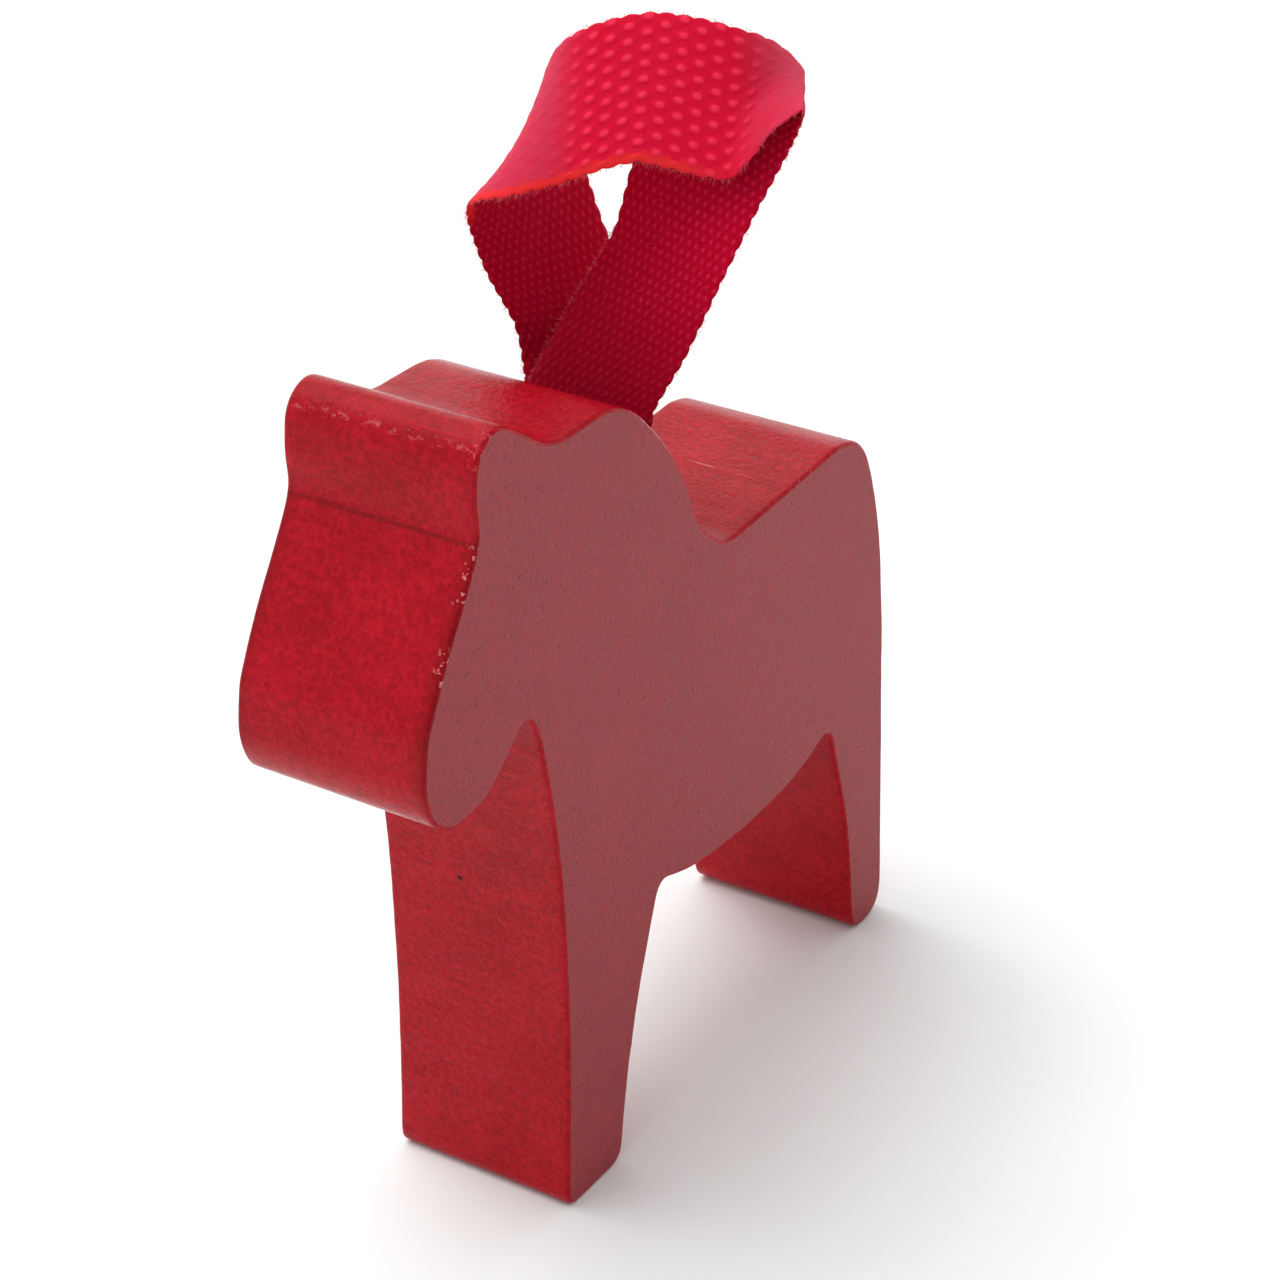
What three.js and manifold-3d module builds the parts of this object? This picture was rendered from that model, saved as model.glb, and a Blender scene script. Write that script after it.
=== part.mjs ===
// A flat wooden dala horse with a ribbon loop to hang it by.
// Millimetres. +X is the way the horse looks, +Y is its left side, +Z is up.
// The origin is the middle of the front foot's sole.

import {
  BoxGeometry,
  BufferAttribute,
  BufferGeometry,
  CatmullRomCurve3,
  ExtrudeGeometry,
  Group,
  Mesh,
  MeshStandardMaterial,
  Shape,
  Vector2,
  Vector3,
} from 'three';
import { mergeVertices } from 'three/addons/utils/BufferGeometryUtils.js';
import Module from 'manifold-3d';

const wasm = await Module();
wasm.setup();

// ---------------------------------------------------------------- dimensions

const BOARD = 15;            // thickness of the board
const ARRIS = 0.3;           // sanded edge all round both flat sides
const CURVE_STEPS = 4;       // segments in each stretch of a curve

const RIBBON_WIDTH = 10;
const RIBBON_THICK = 0.4;
const RIBBON_STEPS = 110;    // segments along the ribbon
const RIBBON_COLUMNS = 3;    // and across it

const GAP = 0.3;             // between touching pieces

const SLOT_LENGTH = 11.2;    // along Y
const SLOT_WIDTH = 4;
const SLOT_DEPTH = 9;
const SLOT_LEAN = 0.35;      // radians back from upright
const SLOT_MOUTH = new Vector3(-12, 0, 55);
const TAIL_DEPTH = 7;        // how far each ribbon end goes down the slot
const TAIL_SPREAD = 0.75;    // from the slot's middle to each end
const GLUE_TOP = 3;          // depth of the glue's surface
const GLUE_LENGTH = 8.6;     // along Y, clear of the slot's round ends

// ---------------------------------------------------------------- helpers

// Turns a shape drawn in X and Z, extruded along its own Z, so that it stands along Y.
function standUp(geometry, thickness) {
  geometry.translate(0, 0, -thickness / 2);
  geometry.rotateX(Math.PI / 2);
  return geometry;
}

function solidFrom(geometry) {
  const bare = geometry.clone();
  bare.deleteAttribute('normal');
  bare.deleteAttribute('uv');
  const merged = mergeVertices(bare, 1e-4);
  const mesh = new wasm.Mesh({
    numProp: 3,
    vertProperties: new Float32Array(merged.attributes.position.array),
    triVerts: new Uint32Array(merged.index.array),
  });
  return new wasm.Manifold(mesh);
}

function geometryFrom(solid) {
  const mesh = solid.getMesh();
  const geometry = new BufferGeometry();
  geometry.setAttribute('position', new BufferAttribute(mesh.vertProperties, 3));
  geometry.setIndex(new BufferAttribute(mesh.triVerts, 1));
  geometry.computeVertexNormals();
  return geometry;
}

// Puts a piece made about the slot's mouth, with its depth down -Z, into the leaning slot.
function placeInSlot(geometry) {
  geometry.rotateY(-SLOT_LEAN);
  geometry.translate(SLOT_MOUTH.x, SLOT_MOUTH.y, SLOT_MOUTH.z);
  return geometry;
}

function curveThrough(shape, points) {
  shape.splineThru(points.map(([x, z]) => new Vector2(x, z)));
}

// ---------------------------------------------------------------- horse

// The horse's side view, from the front toe round the back to the chest.
function horseOutline() {
  const shape = new Shape();
  shape.moveTo(2.1, 0);
  shape.lineTo(-3.4, 0);                                        // front sole
  shape.quadraticCurveTo(-4.3, 0, -4.5, 1);                     // front heel
  curveThrough(shape, [[-5.6, 7.5], [-7.2, 13.5], [-9.6, 20.4]]);
  shape.quadraticCurveTo(-10, 21.5, -11.1, 21.1);               // behind the front leg
  curveThrough(shape, [[-15, 20], [-22.5, 19.4], [-29.5, 20], [-33.2, 21.2]]);
  shape.quadraticCurveTo(-34.6, 22, -35, 20.4);                 // before the hind leg
  curveThrough(shape, [[-37.2, 12.8], [-38.1, 8], [-38.7, 1.8]]);
  shape.quadraticCurveTo(-38.9, 0, -40.6, 0);                   // hind toe
  shape.lineTo(-41.4, 0);                                       // hind sole
  shape.quadraticCurveTo(-43.8, 0, -43.8, 2.8);                 // hind heel
  curveThrough(shape, [[-43.3, 16], [-42.8, 28], [-42, 35.5], [-40.6, 41]]);
  curveThrough(shape, [[-39.4, 43.7], [-37.6, 45.2], [-35, 45.8]]); // rump
  shape.lineTo(-20.4, 45);                                      // back
  shape.quadraticCurveTo(-18.6, 44.9, -17.4, 46.1);
  shape.lineTo(-16.2, 47.1);
  shape.quadraticCurveTo(-15.4, 47.8, -15.1, 48.8);             // foot of the neck
  curveThrough(shape, [[-14, 51.6], [-12.1, 54.8], [-9.8, 57.6]]);
  curveThrough(shape, [[-7.4, 60], [-4.6, 61.4], [-1, 61.6]]);  // crest
  shape.quadraticCurveTo(2, 61.4, 3.4, 62.3);                   // dip
  shape.lineTo(7, 64.8);
  curveThrough(shape, [[8.3, 65.4], [10, 64.8], [10.9, 63.5]]); // ear
  curveThrough(shape, [[11.1, 61], [10.9, 58.8]]);              // brow
  curveThrough(shape, [[11.7, 56.8], [15.1, 51.3], [17.3, 47]]);
  curveThrough(shape, [[17.7, 43.4], [16.8, 40.6], [14.6, 39.1]]); // muzzle
  curveThrough(shape, [[12, 39.3], [10.1, 40], [7, 42.6]]);      // jaw
  shape.quadraticCurveTo(5.9, 43.5, 5.3, 42.2);                 // throat
  curveThrough(shape, [[4.2, 38.2], [2.7, 28], [2.3, 16.5], [2.4, 10], [2.8, 1]]);
  shape.quadraticCurveTo(2.8, 0, 2.1, 0);                       // front toe
  return shape;
}

// A slot with round ends, SLOT_LENGTH along Y, that starts outside the wood.
function slotCutter() {
  const radius = SLOT_WIDTH / 2;
  const straight = SLOT_LENGTH / 2 - radius;
  const outside = 8;
  const section = new Shape();
  section.absarc(0, straight, radius, 0, Math.PI);
  section.absarc(0, -straight, radius, Math.PI, 2 * Math.PI);
  section.closePath();
  const cutter = new ExtrudeGeometry(section, {
    depth: SLOT_DEPTH + outside,
    curveSegments: 8,
    bevelEnabled: false,
  });
  cutter.translate(0, 0, -SLOT_DEPTH);
  return placeInSlot(cutter);
}

function horseBody() {
  const board = new ExtrudeGeometry(horseOutline(), {
    depth: BOARD - 2 * ARRIS,
    curveSegments: CURVE_STEPS,
    bevelEnabled: true,
    bevelThickness: ARRIS,
    bevelSize: ARRIS,
    bevelOffset: -ARRIS,
    bevelSegments: 2,
  });
  standUp(board, BOARD - 2 * ARRIS);
  return geometryFrom(solidFrom(board).subtract(solidFrom(slotCutter())));
}

// ---------------------------------------------------------------- ribbon

// Each station is a point on the near selvedge and the point across the ribbon on the far one.
const LOOP = [
  { near: [-13.7, 7.3, 61.1], far: [-14.8, -2.5, 62.6] },
  { near: [-15.3, 9.4, 66.9], far: [-17.3, -0.3, 68.1] },
  { near: [-18.2, 10.5, 71.4], far: [-18.6, 0.8, 73.8] },
  { near: [-19.9, 11.7, 74.9], far: [-22.6, 2.4, 77.4] },
  { near: [-19.9, 12.5, 76.7], far: [-26.1, 5, 78.8] },
  { near: [-19.5, 13, 78.2], far: [-28.2, 8, 77.2] },
  { near: [-18, 11.3, 76.7], far: [-26.8, 7.2, 79.2] },
  { near: [-17.6, 8.5, 73.1], far: [-22.1, 6.6, 81.8] },
  { near: [-14.7, 3.3, 74.3], far: [-19.3, 1.5, 82.9] },
  { near: [-12.2, -1.4, 72.6], far: [-16.8, -3.3, 81.2] },
  { near: [-10.4, -4.9, 71.5], far: [-18, -6, 78] },
  { near: [-10.7, -7.9, 70.3], far: [-19.9, -6.4, 74.1] },
  { near: [-12.6, -8.9, 66.8], far: [-21.7, -5.4, 68.8] },
  { near: [-13.2, -8.1, 63.8], far: [-22.4, -4.2, 64.4] },
  { near: [-13.5, -6.4, 60.9], far: [-21.5, -0.4, 60.8] },
  { near: [-14, -6.1, 57.7], far: [-17.6, 3.1, 59.3] },
];

// A point in the slot: how far down it, forward of its middle and to its left.
function inSlot(depth, forward, left) {
  const point = new Vector3(forward, left, -depth);
  point.applyAxisAngle(new Vector3(0, 1, 0), -SLOT_LEAN);
  return point.add(SLOT_MOUTH);
}

// The ribbon's end in the slot, down to its tip, with its near selvedge on the side that near gives.
function tail(forward, near) {
  const half = near * RIBBON_WIDTH / 2;
  return [0, TAIL_DEPTH / 2, TAIL_DEPTH].map((depth) => ({
    near: inSlot(depth, forward, half),
    far: inSlot(depth, forward, -half),
  }));
}

function selvedges() {
  const loop = LOOP.map(({ near, far }) => ({
    near: new Vector3(...near),
    far: new Vector3(...far),
  }));
  const stations = [...tail(TAIL_SPREAD, 1).reverse(), ...loop, ...tail(-TAIL_SPREAD, -1)];
  return {
    nearSelvedge: new CatmullRomCurve3(stations.map(({ near }) => near)),
    farSelvedge: new CatmullRomCurve3(stations.map(({ far }) => far)),
  };
}

// A long flat box bent to lie between the two selvedges.
function ribbonLoop() {
  const { nearSelvedge, farSelvedge } = selvedges();
  const pointAt = (t, across) => {
    const near = nearSelvedge.getPoint(t);
    return near.lerp(farSelvedge.getPoint(t), across);
  };
  const ribbon = new BoxGeometry(1, 1, RIBBON_THICK, RIBBON_STEPS, RIBBON_COLUMNS, 1);
  const position = ribbon.attributes.position;
  const nearby = 0.5 / RIBBON_STEPS;
  for (let i = 0; i < position.count; i += 1) {
    const t = Math.min(Math.max(position.getX(i) + 0.5, 0), 1);
    const across = 0.5 - position.getY(i);
    const before = pointAt(Math.max(t - nearby, 0), across);
    const along = pointAt(Math.min(t + nearby, 1), across).sub(before);
    const side = pointAt(t, 0).sub(pointAt(t, 1));
    const face = along.cross(side).normalize();
    const point = pointAt(t, across).addScaledVector(face, position.getZ(i));
    position.setXYZ(i, point.x, point.y, point.z);
  }
  ribbon.computeVertexNormals();
  return ribbon;
}

// ---------------------------------------------------------------- glue

// The dried glue is a block with a groove in it for each ribbon end.
function slotGlue() {
  const halfWidth = SLOT_WIDTH / 2 - GAP;
  const halfGroove = RIBBON_THICK / 2 + GAP;
  const bottom = GAP - SLOT_DEPTH;
  const grooveFloor = -TAIL_DEPTH - GAP;
  const section = new Shape();
  section.moveTo(-halfWidth, -GLUE_TOP);
  section.lineTo(-halfWidth, bottom);
  section.lineTo(halfWidth, bottom);
  section.lineTo(halfWidth, -GLUE_TOP);
  for (const groove of [TAIL_SPREAD, -TAIL_SPREAD]) {
    section.lineTo(groove + halfGroove, -GLUE_TOP);
    section.lineTo(groove + halfGroove, grooveFloor);
    section.lineTo(groove - halfGroove, grooveFloor);
    section.lineTo(groove - halfGroove, -GLUE_TOP);
  }
  const block = new ExtrudeGeometry(section, { depth: GLUE_LENGTH, bevelEnabled: false });
  return placeInSlot(standUp(block, GLUE_LENGTH));
}

// ---------------------------------------------------------------- object

const redPaint = new MeshStandardMaterial({ color: 0x9c2b34, roughness: 0.45, metalness: 0 });
const redRibbon = new MeshStandardMaterial({ color: 0xb0062e, roughness: 0.75, metalness: 0 });
const driedGlue = new MeshStandardMaterial({ color: 0xd8c8a4, roughness: 0.35, metalness: 0 });

function named(name, geometry, material) {
  const mesh = new Mesh(geometry, material);
  mesh.name = name;
  return mesh;
}

const horse = new Group();
horse.add(named('horse_body', horseBody(), redPaint));
horse.add(named('ribbon_loop', ribbonLoop(), redRibbon));
horse.add(named('slot_glue', slotGlue(), driedGlue));

export default horse;
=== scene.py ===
import math

import bmesh
import bpy
import numpy as np
from mathutils import Matrix, Vector, noise


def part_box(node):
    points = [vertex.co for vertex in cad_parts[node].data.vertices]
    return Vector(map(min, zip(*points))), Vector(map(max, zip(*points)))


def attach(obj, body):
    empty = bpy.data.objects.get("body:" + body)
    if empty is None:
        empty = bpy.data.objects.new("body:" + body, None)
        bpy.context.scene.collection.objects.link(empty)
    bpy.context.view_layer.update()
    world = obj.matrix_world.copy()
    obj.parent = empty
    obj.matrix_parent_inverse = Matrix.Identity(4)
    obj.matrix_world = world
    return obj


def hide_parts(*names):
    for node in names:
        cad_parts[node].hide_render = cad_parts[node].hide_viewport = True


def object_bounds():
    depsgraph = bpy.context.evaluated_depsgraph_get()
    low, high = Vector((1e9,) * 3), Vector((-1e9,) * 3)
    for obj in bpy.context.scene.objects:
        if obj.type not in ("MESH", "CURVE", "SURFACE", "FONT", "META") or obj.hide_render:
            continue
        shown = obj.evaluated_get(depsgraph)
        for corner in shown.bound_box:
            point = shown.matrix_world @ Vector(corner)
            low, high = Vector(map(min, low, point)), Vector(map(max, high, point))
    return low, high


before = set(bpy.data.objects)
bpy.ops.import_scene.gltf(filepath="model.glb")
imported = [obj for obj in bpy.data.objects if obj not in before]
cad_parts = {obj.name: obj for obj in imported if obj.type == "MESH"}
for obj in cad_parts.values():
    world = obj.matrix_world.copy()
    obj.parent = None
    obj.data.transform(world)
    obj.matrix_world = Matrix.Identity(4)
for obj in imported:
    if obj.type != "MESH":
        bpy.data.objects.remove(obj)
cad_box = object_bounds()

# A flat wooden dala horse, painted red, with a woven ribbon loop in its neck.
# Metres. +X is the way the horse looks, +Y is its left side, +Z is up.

MM = 0.001
ROOT = "root"

# ---------------------------------------------------------------- dimensions, in mm

OUTLINE_STEP = 0.22        # between the points of the horse's outline
OUTLINE_SOFTEN = 0.45      # how far the cutter and the sandpaper round the outline
ARRIS_STEPS = 5            # rows round each sanded arris
EDGE_ROWS = 26             # rows across the board between the two arrises
ARRIS_FROM = 0.15          # the arris fades into the sawn edge between these, in from the flat side
ARRIS_TO = 1.25
EVEN_BELOW = 1.2           # the sawn edge is even below this height, so the soles stay flat
WAVES = [                  # in the sawn edge: size, change across the board, height, seed
    (1.6, 0.08, 0.03, 1),
    (5.0, 0.2, 0.05, 2),
]

SLOT_LENGTH = 11.2
SLOT_WIDTH = 4
SLOT_DEPTH = 9
SLOT_LEAN = 0.35           # radians back from upright
SLOT_MOUTH = (-12, 0, 55)
TAIL_DEPTH = 7             # how far each ribbon end goes down the slot
TAIL_SPREAD = 0.75         # from the slot's middle to each end

RIBBON_WIDTH = 10
RIBBON_THICK = 0.3         # where the cloth is thinnest
WARP_ENDS = 19             # bumps side by side across the ribbon's outer face, in two rows
PICK = 1.22                # between those rows
INNER_FINENESS = 1.7       # how much finer the bumps of the inner face are
BUMP = 0.12                # how far a warp thread stands up over a pick
SINK = 0.03                # how far it sinks between its neighbours
SCALLOP = 0.13             # how far the selvedge bulges at each pick
RIBBON_STEP = 0.10         # between the points of the ribbon's mesh
CROWDING = 0.15            # how far those points crowd towards the selvedges, from 0 to 1
SELVEDGE_POWER = 12        # how sharply the selvedge's bulges die away from the rim
RIM_POWER = 14             # how squarely the cloth's thickness ends at the rim
JOIN_WITHIN = 1e-6         # points this close, in metres, are one

# Places along the ribbon are measured from the tip of its first leg.
BENDS = (34, 59)           # where the ribbon turns down; the outer face's weave is flattened there, and painted pinker as sheen
FUZZ_SHEEN_NEAR = 4              # the flattening and the painted sheen are strongest up to here from the middle of a bend
FUZZ_SHEEN_FAR = 8               # and gone from here on
FUZZ_HIDES = 0.75          # how much of the weave it fills
SLOT_SHADE_TO = 9              # painted shade darkens the ribbon this far from each end, near the slot
SLOT_SHADE_GONE_FROM = 22              # and is gone from here on
LIT_FROM = 40              # a highlight is painted on the near selvedge along the top, where light falls on it, between these places
LIT_TO = 64
LIT_FADE = 6               # how far it takes to turn pale, and twice as fast to turn back
LIT_BAND = (0.80, 0.92)    # the painted highlight starts and is full here, as shares of the half width
DASH_AT = 0.86             # dark dashes of thread run along the band
DASH_HALF = 0.025

# Points across from each other on the near selvedge and the far one, from one leg to the other.
LOOP = [
    ((-13.7, 7.3, 61.1), (-14.8, -2.5, 62.6)),
    ((-15.3, 9.4, 66.9), (-17.3, -0.3, 68.1)),
    ((-18.2, 10.5, 71.4), (-18.6, 0.8, 73.8)),
    ((-19.9, 11.7, 74.9), (-22.6, 2.4, 77.4)),
    ((-19.9, 12.5, 76.7), (-26.1, 5, 78.8)),
    ((-19.5, 13, 78.2), (-28.2, 8, 77.2)),
    ((-18, 11.3, 76.7), (-26.8, 7.2, 79.2)),
    ((-17.6, 8.5, 73.1), (-22.1, 6.6, 81.8)),
    ((-14.7, 3.3, 74.3), (-19.3, 1.5, 82.9)),
    ((-12.2, -1.4, 72.6), (-16.8, -3.3, 81.2)),
    ((-10.4, -4.9, 71.5), (-18, -6, 78)),
    ((-10.7, -7.9, 70.3), (-19.9, -6.4, 74.1)),
    ((-12.6, -8.9, 66.8), (-21.7, -5.4, 68.8)),
    ((-13.2, -8.1, 63.8), (-22.4, -4.2, 64.4)),
    ((-13.5, -6.4, 60.9), (-21.5, -0.4, 60.8)),
    ((-14, -6.1, 57.7), (-17.6, 3.1, 59.3)),
]

# ---------------------------------------------------------------- camera

CAMERA_AT = (163.4, 117.9, 157.2)
CAMERA_AIM = (-19.25, 0, 34.75)
CAMERA_ROLL = 0.65         # degrees, clockwise
CAMERA_LENS = 95.6         # for a 36 mm sensor


def make_camera():
    data = bpy.data.cameras.new("camera")
    data.sensor_width = 36
    data.lens = CAMERA_LENS
    data.clip_start = 0.01
    camera = bpy.data.objects.new("camera", data)
    bpy.context.collection.objects.link(camera)
    at = Vector(CAMERA_AT) * MM
    look = Vector(CAMERA_AIM) * MM - at
    turn = look.to_track_quat("-Z", "Y").to_matrix()
    roll = Matrix.Rotation(-math.radians(CAMERA_ROLL), 3, "Z")
    camera.matrix_world = Matrix.Translation(at) @ (turn @ roll).to_4x4()
    bpy.context.scene.camera = camera


# ---------------------------------------------------------------- helpers

def new_object(name, mesh):
    thing = bpy.data.objects.new(name, mesh)
    bpy.context.collection.objects.link(thing)
    return thing


def shade_smooth(mesh):
    mesh.polygons.foreach_set("use_smooth", [True] * len(mesh.polygons))


def apply_modifiers(thing):
    """Puts what the modifiers make into the object's own mesh."""
    graph = bpy.context.evaluated_depsgraph_get()
    made = bpy.data.meshes.new_from_object(thing.evaluated_get(graph))
    thing.modifiers.clear()
    thing.data = made


def turn_outwards(mesh, join=False):
    """Turns every face outwards, after joining the points that coincide if asked."""
    work = bmesh.new()
    work.from_mesh(mesh)
    if join:
        bmesh.ops.remove_doubles(work, verts=work.verts, dist=JOIN_WITHIN)
    bmesh.ops.recalc_face_normals(work, faces=work.faces)
    work.to_mesh(mesh)
    work.free()


def smoothstep(low, high, value):
    t = np.clip((value - low) / (high - low), 0, 1)
    return t * t * (3 - 2 * t)


def wobble(points, size, seed):
    """Smooth noise from -1 to 1 at each point, with waves of that size."""
    shift = Vector((seed * 17.3, seed * 5.9, seed * 11.1))
    return np.array([noise.noise(Vector(p) / size + shift) for p in points])


def set_attribute(mesh, name, values):
    attribute = mesh.attributes.new(name, "FLOAT", "POINT")
    attribute.data.foreach_set("value", np.asarray(values, np.float32))


# ---------------------------------------------------------------- node helpers

class Nodes:
    """A material with one Principled shader, and short ways to add nodes to it."""

    def __init__(self, name):
        self.material = bpy.data.materials.new(name)
        self.material.use_nodes = True
        self.tree = self.material.node_tree
        self.shader = self.tree.nodes["Principled BSDF"]
        self.place = self.add("ShaderNodeTexCoord").outputs["Object"]

    def add(self, kind, **settings):
        node = self.tree.nodes.new(kind)
        for key, value in settings.items():
            setattr(node, key, value)
        return node

    def link(self, value, socket):
        if isinstance(value, bpy.types.NodeSocket):
            self.tree.links.new(value, socket)
        else:
            socket.default_value = value

    def math(self, operation, *values):
        node = self.add("ShaderNodeMath", operation=operation)
        for value, socket in zip(values, node.inputs):
            self.link(value, socket)
        return node.outputs[0]

    def ramp(self, value, low, high, start=0.0, end=1.0):
        node = self.add("ShaderNodeMapRange", interpolation_type="SMOOTHSTEP")
        for given, socket in zip((value, low, high, start, end), node.inputs):
            self.link(given, socket)
        return node.outputs[0]

    def stretched(self, across):
        """The object's coordinates in mm, drawn out across the board by that factor."""
        node = self.add("ShaderNodeMapping")
        self.link(self.place, node.inputs["Vector"])
        node.inputs["Scale"].default_value = (1 / MM, 1 / MM / across, 1 / MM)
        return node.outputs[0]

    def noise(self, scale, detail=3.0, roughness=0.5, across=1.0):
        node = self.add("ShaderNodeTexNoise")
        self.link(self.stretched(across), node.inputs["Vector"])
        node.inputs["Scale"].default_value = scale
        node.inputs["Detail"].default_value = detail
        node.inputs["Roughness"].default_value = roughness
        return node.outputs["Fac"]

    def mix(self, factor, first, second):
        node = self.add("ShaderNodeMix", data_type="RGBA")
        self.link(factor, node.inputs["Factor"])
        self.link(first, node.inputs["A"])
        self.link(second, node.inputs["B"])
        return node.outputs["Result"]

    def attribute(self, name):
        return self.add("ShaderNodeAttribute", attribute_name=name).outputs["Fac"]

    def bump(self, height, distance):
        node = self.add("ShaderNodeBump")
        self.link(height, node.inputs["Height"])
        node.inputs["Distance"].default_value = distance * MM
        return node.outputs["Normal"]

    def finish(self, **sockets):
        for name, value in sockets.items():
            self.link(value, self.shader.inputs[name.replace("_", " ")])
        return self.material


# ---------------------------------------------------------------- materials

DEEP_RED = (0.31, 0.002, 0.008, 1)
BRIGHT_RED = (0.50, 0.006, 0.017, 1)
ARRIS_RED = (0.20, 0.002, 0.006, 1)
ARRIS_DEPTH = 0.6                # how far the arrises of the nose go towards their own red
SIDE_RED = (0.42, 0.011, 0.020, 1)
SIDE_DARK = (0.31, 0.008, 0.015, 1)
# Pale pink for the chips and the scratch, and for the painted highlight along the ear's ridge.
CHIP_AND_HIGHLIGHT_PINK = (0.80, 0.24, 0.24, 1)
# Dark red for the fleck in the chest's paint, and for the painted shade in the crease.
FLECK_AND_SHADE_DARK = (0.05, 0.001, 0.003, 1)

SPOT_AT = (2.6, -1.2, 25.7)      # a dark fleck in the chest's paint, in mm
SPOT_RADIUS = 0.28
CREASE_SHADE_AT = (10.9, 0, 58.1)      # painted shade darkens the angle under the brow
CREASE_SHADE_RADIUS = 0.35
CREASE_SHADE_DEPTH = 0.4               # how far it goes towards the dark colour, from 0 to 1
RIDGE_HIGHLIGHT_AT = (10.8, 0, 64.7)       # a highlight is painted along the ear's ridge, broken into pale flecks
RIDGE_HIGHLIGHT_RADIUS = 0.8
SCRATCH_AT = (-28.05, 1.05, 45.5)    # a thin pale scratch across the back
SCRATCH_SIZE = (0.09, 3.7, 1.2)      # half its size each way


def near_point(n, at, radius, along=(1, 1, 1)):
    """1 up to half the radius from a point in mm, falling to 0 at it, with each axis weighted."""
    offset = n.add("ShaderNodeVectorMath", operation="SUBTRACT")
    n.link(n.place, offset.inputs[0])
    offset.inputs[1].default_value = Vector(at) * MM
    weighted = n.add("ShaderNodeVectorMath", operation="MULTIPLY")
    n.link(offset.outputs["Vector"], weighted.inputs[0])
    weighted.inputs[1].default_value = along
    length = n.add("ShaderNodeVectorMath", operation="LENGTH")
    n.link(weighted.outputs["Vector"], length.inputs[0])
    return n.ramp(length.outputs["Value"], radius * MM * 0.5, radius * MM, 1.0, 0.0)


def marked(n, colour):
    """Adds the fleck, the scratch and the chips to the paint, with painted shade in the crease under the
    brow and a painted highlight in flecks along the ear's ridge.
    """
    colour = n.mix(near_point(n, SPOT_AT, SPOT_RADIUS), colour, FLECK_AND_SHADE_DARK)
    # Painted shade in the crease under the brow.
    crease = near_point(n, CREASE_SHADE_AT, CREASE_SHADE_RADIUS, along=(1, 0, 1))
    colour = n.mix(n.math("MULTIPLY", crease, CREASE_SHADE_DEPTH), colour, FLECK_AND_SHADE_DARK)
    thin = tuple(1 / size for size in SCRATCH_SIZE)
    scratch = near_point(n, SCRATCH_AT, 1, along=thin)
    worn = n.ramp(n.noise(1.3, 2.0, across=3), 0.4, 0.55, 0.1, 0.75)
    colour = n.mix(n.math("MULTIPLY", scratch, worn), colour, CHIP_AND_HIGHLIGHT_PINK)
    bead = n.ramp(n.noise(3.4, 1.0), 0.6, 0.66)
    chips = n.math("MULTIPLY", n.attribute("chip"), bead)
    colour = n.mix(chips, colour, CHIP_AND_HIGHLIGHT_PINK)
    # Painted highlight: pale flecks along the ear's ridge.
    ridge = near_point(n, RIDGE_HIGHLIGHT_AT, RIDGE_HIGHLIGHT_RADIUS, along=(1, 0, 1))
    highlight_specks = n.ramp(n.noise(2.6, 3.0, 0.7, across=2), 0.52, 0.62, 0.0, 0.45)
    return n.mix(n.math("MULTIPLY", ridge, highlight_specks), colour, CHIP_AND_HIGHLIGHT_PINK)


def painted_edge():
    """Thin glossy paint over the sawn edge: cloudy, with fine streaks across the board."""
    n = Nodes("painted_edge")
    clouds = n.noise(0.22, 3.0, 0.5)
    streaks = n.noise(2.6, 3.0, 0.65, across=8)
    mottle = n.noise(2.1, 4.0, 0.75)
    shade = n.math("ADD", n.math("MULTIPLY", clouds, 0.2), n.math("MULTIPLY", streaks, 0.15))
    shade = n.math("ADD", shade, n.math("MULTIPLY", mottle, 0.65))
    colour = n.mix(n.ramp(shade, 0.38, 0.64), DEEP_RED, BRIGHT_RED)
    colour = n.mix(n.math("MULTIPLY", n.attribute("arris"), ARRIS_DEPTH), colour, ARRIS_RED)
    height = n.math("ADD", n.math("MULTIPLY", streaks, 0.4), mottle)
    return n.finish(
        Base_Color=marked(n, colour),
        Roughness=n.ramp(n.noise(1.1, 3.0, across=4), 0.3, 0.7, 0.1, 0.2),
        Specular_IOR_Level=0.1,
        Normal=n.bump(height, 0.08),
    )


def painted_side():
    """Dull paint on the flat sides, with a fine even grain."""
    n = Nodes("painted_side")
    clouds = n.noise(0.12, 3.0, 0.5)
    speckle = n.noise(2.7, 4.0, 0.8)
    shade = n.math("ADD", n.math("MULTIPLY", clouds, 0.15), n.math("MULTIPLY", speckle, 0.85))
    colour = n.mix(n.ramp(shade, 0.38, 0.62), SIDE_DARK, SIDE_RED)
    pores = n.ramp(n.noise(2.4, 3.0, 0.7), 0.6, 0.72)
    colour = n.mix(n.math("MULTIPLY", pores, 0.45), colour, ARRIS_RED)
    height = n.math("SUBTRACT", speckle, pores)
    return n.finish(
        Base_Color=colour,
        Roughness=n.ramp(speckle, 0.3, 0.7, 0.46, 0.58),
        Specular_IOR_Level=0.55,
        Normal=n.bump(height, 0.2),
    )


def slot_wall():
    """The rough wood inside the slot, stained by the paint."""
    n = Nodes("slot_wall")
    fibres = n.noise(2.2, 4.0, 0.7, across=5)
    colour = n.mix(n.ramp(fibres, 0.35, 0.65), (0.10, 0.004, 0.005, 1), (0.26, 0.05, 0.03, 1))
    return n.finish(Base_Color=colour, Roughness=0.8, Normal=n.bump(fibres, 0.12))


# Pale red of the highlight painted on the near selvedge.
SELVEDGE_HIGHLIGHT_RED = (0.85, 0.022, 0.028, 1)
# Pinker red painted at the bends as sheen.
BEND_SHEEN_RED = (0.62, 0.028, 0.076, 1)
# Dark red painted on the ribbon near the slot, as shade.
SLOT_SHADE_RED = (0.19, 0.0, 0.007, 1)
SLOT_SHADE_DEPTH = 0.55              # how far the painted shade near the slot goes towards its own dark red


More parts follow.
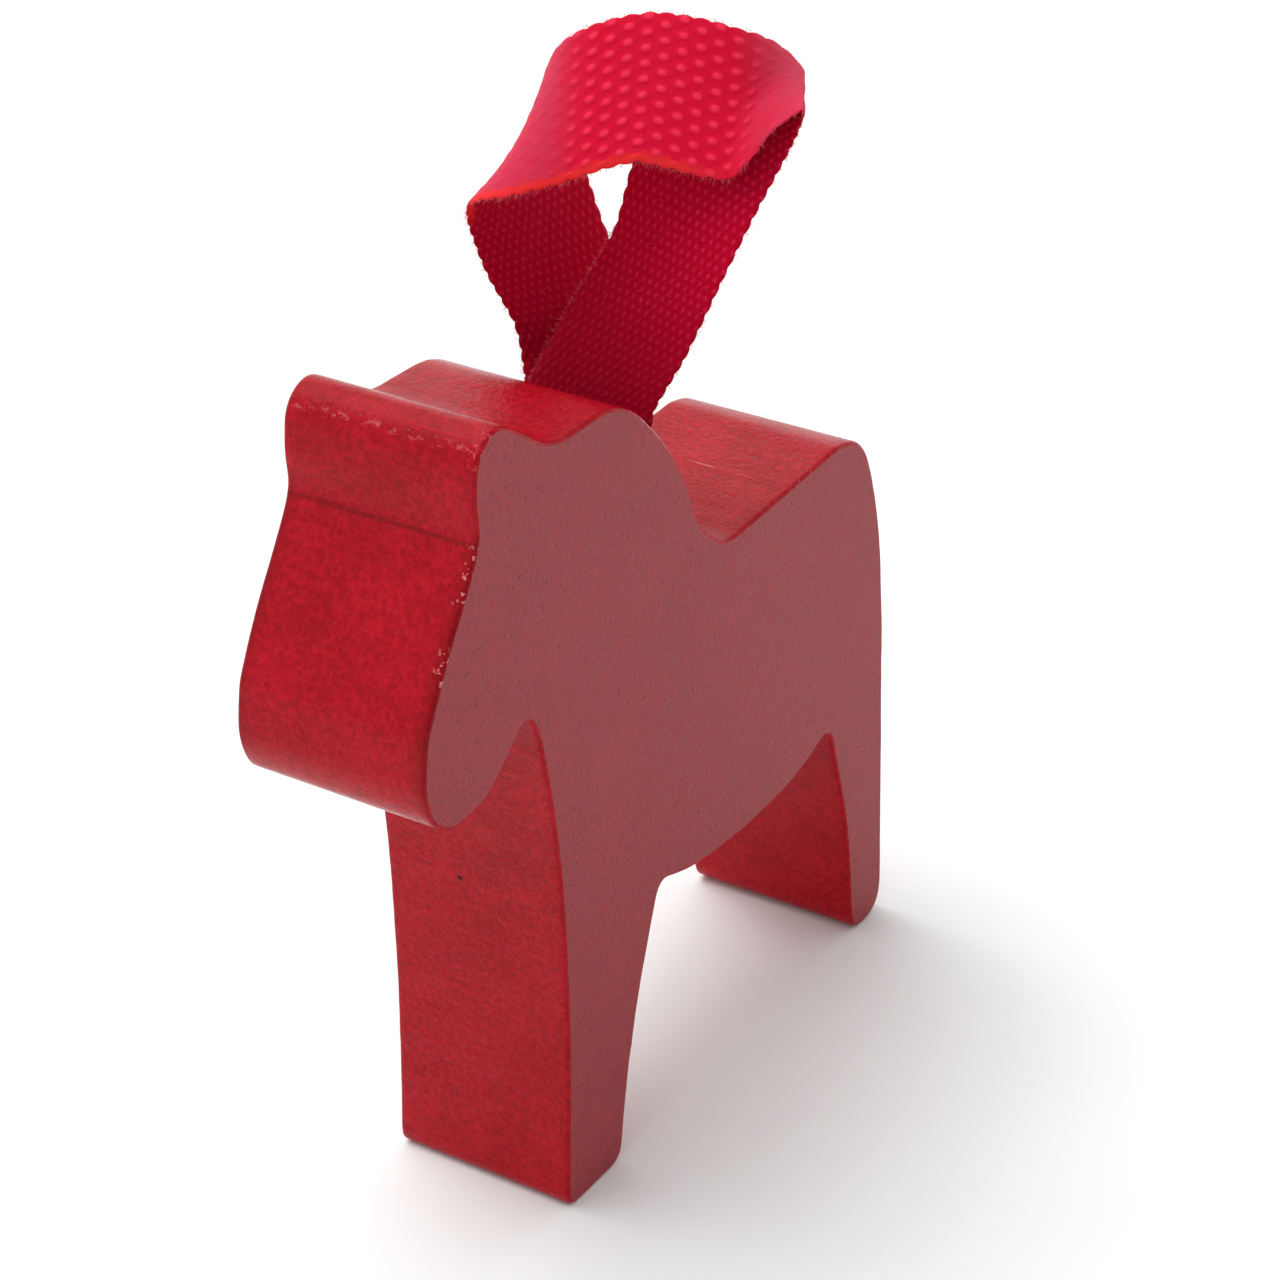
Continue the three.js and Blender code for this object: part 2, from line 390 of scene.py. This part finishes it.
def ribbon_cloth(name, ground, bump, fibre, specular, sheen):
    """Dyed yarn with fibres showing; the top of each bump of the weave is painted lighter than the ground,
    as a highlight.
    """
    n = Nodes(name)
    fibres = n.noise(3.6, 5.0, 0.8)
    # Painted highlight on the top of each bump of the weave.
    colour = n.mix(n.attribute("raised_highlight"), ground, bump)
    colour = n.mix(n.ramp(fibres, 0.45, 0.7, 0.0, 0.5), colour, fibre)
    # Painted sheen: the outer face turns pinker at the bends, in patches.
    sheen_patches = n.ramp(n.noise(0.9, 4.0, 0.7), 0.3, 0.6, 0.55, 1.0)
    colour = n.mix(n.math("MULTIPLY", n.attribute("fuzz_and_sheen"), sheen_patches), colour, BEND_SHEEN_RED)
    # Painted highlight along the near selvedge on the top of the loop.
    colour = n.mix(n.attribute("selvedge"), colour, SELVEDGE_HIGHLIGHT_RED)
    # Painted shade: the ribbon darkens towards its ends at the slot.
    colour = n.mix(n.math("MULTIPLY", n.attribute("slot_shade"), SLOT_SHADE_DEPTH), colour, SLOT_SHADE_RED)
    return n.finish(
        Base_Color=colour,
        Roughness=0.6,
        Specular_IOR_Level=specular,
        Sheen_Weight=sheen,
        Sheen_Roughness=0.35,
        Sheen_Tint=(1, 0.2, 0.3, 1),
        Normal=n.bump(fibres, 0.06),
    )


def outer_cloth():
    """The bright outer face of the loop."""
    return ribbon_cloth(
        "ribbon_outer",
        ground=(0.74, 0.0, 0.034, 1),
        bump=(0.98, 0.030, 0.085, 1),
        fibre=(0.84, 0.006, 0.056, 1),
        specular=0.12,
        sheen=0.17,
    )


def inner_cloth():
    """The inner face of the loop, duller, with its colour painted darker as the shade on the legs."""
    return ribbon_cloth(
        "ribbon_inner",
        ground=(0.45, 0.0, 0.019, 1),
        bump=(0.66, 0.010, 0.055, 1),
        fibre=(0.50, 0.001, 0.028, 1),
        specular=0.04,
        sheen=0.06,
    )


def ribbon_hair():
    """Loose fibres, some of them paler than the cloth."""
    n = Nodes("ribbon_hair")
    colour = n.mix(n.noise(0.6), (0.7, 0.01, 0.05, 1), (0.9, 0.14, 0.18, 1))
    return n.finish(Base_Color=colour, Roughness=0.5, Sheen_Weight=0.3)


def dried_glue():
    """Clear yellowish glue with an uneven skin."""
    n = Nodes("dried_glue")
    colour = n.mix(n.noise(0.8, 3.0), (0.62, 0.5, 0.3, 1), (0.75, 0.66, 0.46, 1))
    return n.finish(
        Base_Color=colour,
        Roughness=n.ramp(n.noise(1.5), 0.3, 0.7, 0.15, 0.35),
        Normal=n.bump(n.noise(0.9, 2.0), 0.1),
    )


def pale_floor():
    """White paper, hardly uneven."""
    n = Nodes("pale_floor")
    colour = n.mix(n.noise(0.02, 2.0), (0.92, 0.96, 0.955, 1), (0.94, 0.98, 0.975, 1))
    return n.finish(Base_Color=colour, Roughness=0.6, Specular_IOR_Level=0.2)


# ---------------------------------------------------------------- horse

def flat_side_loop(node):
    """The outline of the node's flat side at its highest Y, in order, as X and Z in mm."""
    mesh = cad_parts[node].data
    top = max(v.co.y for v in mesh.vertices)
    key = {}
    for v in mesh.vertices:
        if v.co.y > top - 1e-6:
            key[v.index] = (round(v.co.x / MM, 4), round(v.co.z / MM, 4))
    edges = set()
    for face in mesh.polygons:
        corners = list(face.vertices)
        if not all(c in key for c in corners):
            continue
        for a, b in zip(corners, corners[1:] + corners[:1]):
            edges.add((key[a], key[b]))
    rim = {a: b for a, b in edges if (b, a) not in edges}
    start = min(rim)
    loop = [start]
    while rim[loop[-1]] != start:
        loop.append(rim[loop[-1]])
    return np.array(loop)


def evenly_spaced(loop, step):
    """Points along a closed outline, a step apart."""
    closed = np.vstack([loop, loop[:1]])
    lengths = np.linalg.norm(np.diff(closed, axis=0), axis=1)
    along = np.concatenate([[0], np.cumsum(lengths)])
    count = round(along[-1] / step)
    places = np.arange(count) * along[-1] / count
    return np.column_stack([np.interp(places, along, closed[:, k]) for k in (0, 1)])


def softened(loop, reach):
    """The closed outline with its corners rounded off."""
    span = int(math.ceil(3 * reach / OUTLINE_STEP))
    steps = np.arange(-span, span + 1)
    weights = np.exp(-0.5 * (steps * OUTLINE_STEP / reach) ** 2)
    weights /= weights.sum()
    return sum(w * np.roll(loop, s, axis=0) for w, s in zip(weights, steps))


def outward(loop):
    """The way out of the outline at each of its points."""
    along = np.roll(loop, -1, axis=0) - np.roll(loop, 1, axis=0)
    along /= np.linalg.norm(along, axis=1)[:, None]
    out = np.column_stack([along[:, 1], -along[:, 0]])
    area = np.sum(loop[:, 0] * np.roll(loop[:, 1], -1) - loop[:, 1] * np.roll(loop[:, 0], -1))
    return out if area > 0 else -out


# Where the arris of the left side is chipped: X and Z in mm, how far round that, and how badly.
CHIPPED = [
    (12.4, 56.4, 2.6, 0.9),
    (15.2, 51.4, 1.6, 0.8),
    (10.2, 64.6, 1.6, 0.6),
    (-30.6, 45.4, 1.8, 0.3),
]


def edge_profile(arris, half):
    """Distance in from the outline and place across the board, from the right side to the left."""
    angles = np.linspace(0, math.pi / 2, ARRIS_STEPS + 1)
    inset = arris * (1 - np.sin(angles))
    across = half - arris * (1 - np.cos(angles))
    middle = np.linspace(-(half - arris), half - arris, EDGE_ROWS)[1:-1]
    right = [(i, -y) for i, y in zip(inset, across)]
    left = [(i, y) for i, y in zip(inset[::-1], across[::-1])]
    return right + [(0, y) for y in middle] + left


def chipped(points, arris_share):
    """How badly the paint is chipped at each point, from 0 to 1, on the left arris only."""
    worst = np.zeros(len(points))
    for x, z, reach, amount in CHIPPED:
        away = np.hypot(points[:, 0] - x, points[:, 2] - z)
        worst = np.maximum(worst, amount * (1 - smoothstep(reach * 0.6, reach, away)))
    return worst * smoothstep(0.85, 0.98, arris_share) * (points[:, 1] > 0)


NOSE_BACK = 12             # the arrises are darker forward of here
NOSE_LOW = 44              # and between these heights
NOSE_TOP = 57
NOSE_FADE = 3


def darker_nose_arris(points, arris_share):
    """Where the paint is darker along the arrises of the nose, from 0 to 1."""
    x, z = points[:, 0], points[:, 2]
    forward = smoothstep(NOSE_BACK - NOSE_FADE, NOSE_BACK, x)
    above = smoothstep(NOSE_LOW - NOSE_FADE, NOSE_LOW, z)
    below = 1 - smoothstep(NOSE_TOP, NOSE_TOP + NOSE_FADE, z)
    return arris_share * forward * above * below


def sawn_outline(rim, arris):
    """The board's outline, an arris out from its flat side's rim, and the way out of it."""
    loop = softened(evenly_spaced(rim, OUTLINE_STEP), OUTLINE_SOFTEN)
    out = outward(loop)
    loop = loop + out * arris
    loop[:, 1] = np.maximum(loop[:, 1], 0)
    return loop, out


def board_points(loop, out, profile):
    """The outline's points once for each row of the profile, slightly uneven on the sawn edge."""
    rows = []
    for inset, y in profile:
        row = np.column_stack([loop[:, 0], np.full(len(loop), y), loop[:, 1]])
        row[:, 0] -= out[:, 0] * inset
        row[:, 2] -= out[:, 1] * inset
        rows.append(row)
    points = np.vstack(rows)
    wave = sum(
        wobble(points * np.array([1, across, 1]), size, seed) * height
        for size, across, height, seed in WAVES
    )
    lift = wave * (points[:, 2] > EVEN_BELOW)
    normal = np.tile(out, (len(profile), 1))
    points[:, 0] += normal[:, 0] * lift
    points[:, 2] += normal[:, 1] * lift
    return points


def board_faces(count, rows):
    """The faces between the rows, then the right flat side and the left one."""
    faces = []
    for r in range(rows - 1):
        for i in range(count):
            j = (i + 1) % count
            faces.append((r * count + i, r * count + j, (r + 1) * count + j, (r + 1) * count + i))
    last = (rows - 1) * count
    faces.append(tuple(range(count))[::-1])
    faces.append(tuple(range(last, last + count)))
    return faces


def make_horse():
    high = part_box("horse_body")[1]
    half = high.y / MM
    rim = flat_side_loop("horse_body")
    arris = high.z / MM - rim[:, 1].max()
    loop, out = sawn_outline(rim, arris)
    profile = edge_profile(arris, half)
    points = board_points(loop, out, profile)
    inward = half - np.abs([y for inset, y in profile])
    share = np.repeat(1 - smoothstep(ARRIS_FROM, ARRIS_TO, inward), len(loop))
    mesh = bpy.data.meshes.new("horse")
    mesh.from_pydata((points * MM).tolist(), [], board_faces(len(loop), len(profile)))
    shade_smooth(mesh)
    for face in mesh.polygons[-2:]:
        face.use_smooth = False
        face.material_index = 1
    set_attribute(mesh, "arris", darker_nose_arris(points, share))
    set_attribute(mesh, "chip", chipped(points, share))
    for material in (painted_edge(), painted_side(), slot_wall()):
        mesh.materials.append(material)
    turn_outwards(mesh)
    horse = new_object("horse", mesh)
    cut_slot(horse)
    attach(horse, ROOT)
    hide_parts("horse_body")


SLOT_TURNS = 16            # flats round each of the slot's ends
CUTTER_ABOVE = 8           # how far the cutting bar stands out of the slot's mouth


def slot_bar():
    """The bar with round ends that the slot is cut with."""
    radius = SLOT_WIDTH / 2
    straight = SLOT_LENGTH / 2 - radius
    turns = np.linspace(0, math.pi, SLOT_TURNS + 1)
    ring = [(radius * math.cos(a), straight + radius * math.sin(a)) for a in turns]
    ring += [(-x, -y) for x, y in ring]
    work = bmesh.new()
    bottom = [work.verts.new((x, y, -SLOT_DEPTH)) for x, y in ring]
    floor = work.faces.new(bottom)
    grown = bmesh.ops.extrude_face_region(work, geom=[floor])["geom"]
    tops = [g for g in grown if isinstance(g, bmesh.types.BMVert)]
    bmesh.ops.translate(work, verts=tops, vec=(0, 0, SLOT_DEPTH + CUTTER_ABOVE))
    bmesh.ops.recalc_face_normals(work, faces=work.faces)
    lean = Matrix.Rotation(-SLOT_LEAN, 4, "Y")
    work.transform(Matrix.Scale(MM, 4) @ Matrix.Translation(SLOT_MOUTH) @ lean)
    mesh = bpy.data.meshes.new("slot_cutter")
    work.to_mesh(mesh)
    work.free()
    return mesh


def cut_slot(horse):
    """Cuts the slot, and gives its walls the bar's own material, which is the horse's last."""
    bar = slot_bar()
    bar.materials.append(horse.data.materials[-1])
    cutter = new_object("slot_cutter", bar)
    cut = horse.modifiers.new("slot", "BOOLEAN")
    cut.operation = "DIFFERENCE"
    cut.solver = "EXACT"
    cut.material_mode = "TRANSFER"
    cut.object = cutter
    apply_modifiers(horse)
    bpy.data.objects.remove(cutter)


# ---------------------------------------------------------------- ribbon

def in_slot(depth, forward, left):
    """A point in the slot: how far down it, forward of its middle and to its left."""
    lean = Matrix.Rotation(-SLOT_LEAN, 3, "Y")
    return Vector(SLOT_MOUTH) + lean @ Vector((forward, left, -depth))


def curve_points(stations, places):
    """Points on the centripetal Catmull-Rom curve through the stations, at places from 0 to 1."""
    first = 2 * stations[0] - stations[1]
    last = 2 * stations[-1] - stations[-2]
    padded = np.vstack([first, stations, last])
    spans = len(stations) - 1
    found = []
    for place in places:
        at = min(place * spans, spans - 1e-9)
        i = int(at)
        p = padded[i:i + 4]
        gaps = np.maximum(np.linalg.norm(np.diff(p, axis=0), axis=1) ** 0.5, 1e-4)
        knots = np.concatenate([[0], np.cumsum(gaps)])
        t = knots[1] + (at - i) * gaps[1]
        for level in range(1, 4):
            low, high = knots[:4 - level], knots[level:]
            share = ((t - low) / (high - low))[:, None]
            p = p[:-1] * (1 - share) + p[1:] * share
        found.append(p[0])
    return np.array(found)


def tail(forward, near):
    """The ribbon's end in the slot, down to its tip, with its near selvedge on the side that near gives."""
    half = near * RIBBON_WIDTH / 2
    depths = (0, TAIL_DEPTH / 2, TAIL_DEPTH)
    return [(in_slot(d, forward, half), in_slot(d, forward, -half)) for d in depths]


def selvedges():
    """Both selvedges in even steps along the ribbon, and how far along it each step is."""
    stations = tail(TAIL_SPREAD, 1)[::-1] + LOOP + tail(-TAIL_SPREAD, -1)
    places = np.linspace(0, 1, 1500)
    near = curve_points(np.array([tuple(a) for a, b in stations], float), places)
    far = curve_points(np.array([tuple(b) for a, b in stations], float), places)
    steps = np.linalg.norm(np.diff((near + far) / 2, axis=0), axis=1)
    along = np.concatenate([[0], np.cumsum(steps)])
    even = np.linspace(0, along[-1], round(along[-1] / RIBBON_STEP))
    near, far = (
        np.column_stack([np.interp(even, along, side[:, k]) for k in range(3)])
        for side in (near, far)
    )
    return even, near, far


def cloth_middle(near, far, shares):
    """Points on the strip between the selvedges, with the way across it and the way out of its face."""
    to_near = (near - far)[:, None]
    middle = (near + far)[:, None] / 2 + to_near / 2 * shares[:, None]
    face = np.cross(np.gradient(middle, axis=0), to_near)
    face /= np.linalg.norm(face, axis=2)[:, :, None]
    across = np.broadcast_to(to_near / np.linalg.norm(to_near, axis=2)[:, :, None], middle.shape)
    return middle, across, face


def weave(across, along, fineness):
    """1 where a warp thread stands up over a pick, -1 where it goes under, in staggered rows."""
    ends = round(WARP_ENDS * fineness)
    threads = np.cos(np.pi * (across / RIBBON_WIDTH + 0.5) * ends + np.pi / 2)
    picks = np.cos(np.pi * along / PICK * fineness)
    return np.sign(threads * picks) * np.abs(threads) ** 0.6 * picks ** 2


def face_height(up):
    """How far the cloth's face stands out over the thinnest cloth."""
    return BUMP * np.maximum(up, 0) - SINK * np.maximum(-up, 0)


def cloth_faces(rows, columns):
    """Faces of a front sheet of points and a back one after it, then those that close the ends."""
    count = rows * columns
    faces = []
    for r in range(rows - 1):
        for c in range(columns - 1):
            a = r * columns + c
            b = a + columns
            faces.append((a, b, b + 1, a + 1))
            faces.append((count + a, count + a + 1, count + b + 1, count + b))
    end = count - columns
    for c in range(columns - 1):
        faces.append((c, c + 1, count + c + 1, count + c))
        faces.append((end + c + 1, end + c, count + end + c, count + end + c + 1))
    return faces


def painted_selvedge_highlight(along, share):
    """Where a highlight is painted along the near selvedge, from 0 to 1, with dark dashes along it."""
    edge = smoothstep(*LIT_BAND, share) * smoothstep(LIT_FROM, LIT_FROM + LIT_FADE, along)
    edge *= 1 - smoothstep(LIT_TO - LIT_FADE / 2, LIT_TO, along)
    dash = (np.abs(share - DASH_AT) < DASH_HALF) & (np.cos(2 * np.pi * along / PICK) > 0)
    edge[dash] = 0
    return edge


def make_ribbon():
    even, near, far = selvedges()
    columns = round(RIBBON_WIDTH / RIBBON_STEP)
    turn = np.linspace(-1, 1, columns)
    shares = np.sin(turn * math.pi / 2) * CROWDING + turn * (1 - CROWDING)
    middle, to_side, face = (a.reshape(-1, 3) for a in cloth_middle(near, far, shares))
    along = np.repeat(even, columns)
    share = np.tile(shares, len(even))
    count = len(share)

    fuzz_and_sheen = sum(1 - smoothstep(FUZZ_SHEEN_NEAR, FUZZ_SHEEN_FAR, np.abs(along - bend)) for bend in BENDS)
    outer = weave(share * RIBBON_WIDTH / 2, along, 1) * (1 - FUZZ_HIDES * fuzz_and_sheen)
    inner = weave(share * RIBBON_WIDTH / 2, along, INNER_FINENESS)
    scallop = SCALLOP * np.abs(np.cos(np.pi * along / PICK + np.pi / 2 * (share > 0)))
    bulge = (scallop - SCALLOP / 2) * share * np.abs(share) ** SELVEDGE_POWER
    rim = np.sqrt(np.clip(1 - np.abs(share) ** RIM_POWER, 0, 1))
    base = middle + to_side * bulge[:, None]
    front = base + face * ((RIBBON_THICK / 2 + face_height(outer)) * rim)[:, None]
    back = base - face * ((RIBBON_THICK / 2 + face_height(inner) / INNER_FINENESS) * rim)[:, None]

    faces = cloth_faces(len(even), columns)
    mesh = bpy.data.meshes.new("ribbon")
    mesh.from_pydata((np.vstack([front, back]) * MM).tolist(), [], faces)
    mesh.polygons.foreach_set("material_index", [int(face[0] >= count) for face in faces])
    edge = painted_selvedge_highlight(along, share)
    # Painted shade near the slot: 1 at each end of the ribbon, fading to 0 further up.
    slot_shade = 1 - smoothstep(SLOT_SHADE_TO, SLOT_SHADE_GONE_FROM, np.minimum(along, even[-1] - along))
    # Where each bump of the weave gets its painted highlight.
    set_attribute(mesh, "raised_highlight", smoothstep(0.2, 0.8, np.concatenate([outer, inner])))
    set_attribute(mesh, "slot_shade", np.concatenate([slot_shade, slot_shade]))
    set_attribute(mesh, "fuzz_and_sheen", np.concatenate([fuzz_and_sheen, np.zeros(count)]))
    set_attribute(mesh, "selvedge", np.concatenate([edge, edge]))
    turn_outwards(mesh, join=True)
    shade_smooth(mesh)
    mesh.materials.append(outer_cloth())
    mesh.materials.append(inner_cloth())
    ribbon = new_object("ribbon", mesh)
    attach(ribbon, ROOT)
    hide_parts("ribbon_loop")
    hair = make_hair(even, near, far)


HAIR_COUNT = 2400
HAIR_THICK = 0.013
HAIR_TAPER = 0.6           # how much thinner it is at the tip, from 0 to 1
HAIR_LENGTH = (0.12, 0.5)  # shortest and longest
HAIR_TILT = 0.7            # how far it leans from straight out
HAIR_BEND = 0.5
HAIR_CORNERS = 3
HAIR_STEPS = 3
HAIR_PLACES = 41           # across the ribbon
HAIR_ON_RIM = 0.85         # the share of them that grow from the selvedges
HAIR_CLEAR = 2             # none this near the slot's mouth


def fibre(root, way, bend, length, ahead):
    """The points of one fibre, ring by ring from its root."""
    points = []
    for step in range(HAIR_STEPS + 1):
        t = step / HAIR_STEPS
        centre = root + (way * t + bend * t * t * 0.5) * length
        thick = HAIR_THICK * (1 - HAIR_TAPER * t)
        for corner in range(HAIR_CORNERS):
            a = corner * 2 * math.pi / HAIR_CORNERS
            spoke = ahead * math.cos(a) + np.cross(way, ahead) * math.sin(a)
            points.append(centre + spoke * thick)
    return points


def fibre_faces(first):
    """The faces of the fibre whose points start there, with both its ends closed."""
    faces = []
    for step in range(HAIR_STEPS):
        for corner in range(HAIR_CORNERS):
            a = first + step * HAIR_CORNERS + corner
            b = first + step * HAIR_CORNERS + (corner + 1) % HAIR_CORNERS
            faces.append((a, b, b + HAIR_CORNERS, a + HAIR_CORNERS))
    tip = first + HAIR_STEPS * HAIR_CORNERS
    faces.append((first, first + 2, first + 1))
    faces.append((tip, tip + 1, tip + 2))
    return faces


def make_hair(even, near, far):
    """Short loose fibres that stand out of the cloth, most of them on the selvedges."""
    dice = np.random.default_rng(7)
    shares = np.linspace(-1, 1, HAIR_PLACES)
    middle, to_side, face = cloth_middle(near, far, shares)
    lowest = np.searchsorted(even, TAIL_DEPTH + HAIR_CLEAR)
    points = []
    faces = []
    for _ in range(HAIR_COUNT):
        row = dice.integers(lowest, len(even) - lowest)
        on_rim = dice.random() < HAIR_ON_RIM
        column = dice.choice([0, len(shares) - 1]) if on_rim else dice.integers(len(shares))
        side = to_side[row, column]
        out = face[row, column] * dice.choice([-1, 1])
        ahead = np.cross(side, out)
        grow = side * shares[column] if on_rim else out
        root = middle[row, column] + out * (0 if on_rim else RIBBON_THICK / 2)
        tilt = dice.normal(0, HAIR_TILT, 3)
        way = grow + ahead * tilt[0] + side * tilt[1] * 0.5 + out * tilt[2] * 0.5
        way /= np.linalg.norm(way)
        bend = dice.normal(0, HAIR_BEND, 3)
        length = dice.uniform(*HAIR_LENGTH)
        faces += fibre_faces(len(points))
        points += fibre(root, way, bend, length, ahead)
    mesh = bpy.data.meshes.new("ribbon_hair")
    mesh.from_pydata((np.array(points) * MM).tolist(), [], faces)
    shade_smooth(mesh)
    mesh.materials.append(ribbon_hair())
    hair = new_object("ribbon_hair", mesh)
    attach(hair, ROOT)
    return hair


# ---------------------------------------------------------------- glue

def finish_glue():
    """The CAD's own glue, with a better material."""
    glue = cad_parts["slot_glue"]
    glue.data.materials.clear()
    glue.data.materials.append(dried_glue())


# ---------------------------------------------------------------- studio

def soft_light(name, towards, strength, spread):
    """A wide lamp a long way off, towards that direction, with the spread in degrees."""
    data = bpy.data.lights.new(name, "SUN")
    data.energy = strength
    data.angle = math.radians(spread)
    light = bpy.data.objects.new(name, data)
    bpy.context.collection.objects.link(light)
    light.rotation_euler = Vector(towards).to_track_quat("Z", "Y").to_euler()


SKY_BRIGHT = 1.22          # how bright the room is on the side that the light comes from
SKY_DIM = 0.38             # and on the opposite side
SKY_TURN = 25              # degrees from the horse's right towards its tail, to the bright side
FLOOR_REACH = 3            # in metres


def make_room():
    """The light of a pale room, brighter on one side."""
    world = bpy.data.worlds.new("studio")
    world.use_nodes = True
    tree = world.node_tree
    background = tree.nodes["Background"]
    background.inputs["Color"].default_value = (1, 1, 1, 1)
    way = tree.nodes.new("ShaderNodeTexCoord").outputs["Generated"]
    turned = tree.nodes.new("ShaderNodeVectorMath")
    turned.operation = "DOT_PRODUCT"
    tree.links.new(way, turned.inputs[0])
    turn = math.radians(SKY_TURN)
    turned.inputs[1].default_value = (-math.sin(turn), -math.cos(turn), 0)
    fall = tree.nodes.new("ShaderNodeMapRange")
    tree.links.new(turned.outputs["Value"], fall.inputs["Value"])
    fall.inputs["From Min"].default_value = -1
    fall.inputs["To Min"].default_value = SKY_DIM
    fall.inputs["To Max"].default_value = SKY_BRIGHT
    tree.links.new(fall.outputs[0], background.inputs["Strength"])
    bpy.context.scene.world = world


def make_floor():
    mesh = bpy.data.meshes.new("floor")
    low = cad_box[0].z
    turns = [(-1, -1), (1, -1), (1, 1), (-1, 1)]
    corners = [(x * FLOOR_REACH, y * FLOOR_REACH, low) for x, y in turns]
    mesh.from_pydata(corners, [], [(0, 1, 2, 3)])
    mesh.materials.append(pale_floor())
    floor = new_object("floor", mesh)


def make_studio():
    make_floor()
    soft_light("window", (0.12, -0.30, 0.95), 1.3, 42)
    soft_light("strip", (-0.04, -0.47, 0.87), 0.16, 12)
    make_room()
    bpy.context.scene.view_settings.view_transform = "Standard"


# ---------------------------------------------------------------- scene

make_camera()
make_horse()
make_ribbon()
finish_glue()
make_studio()
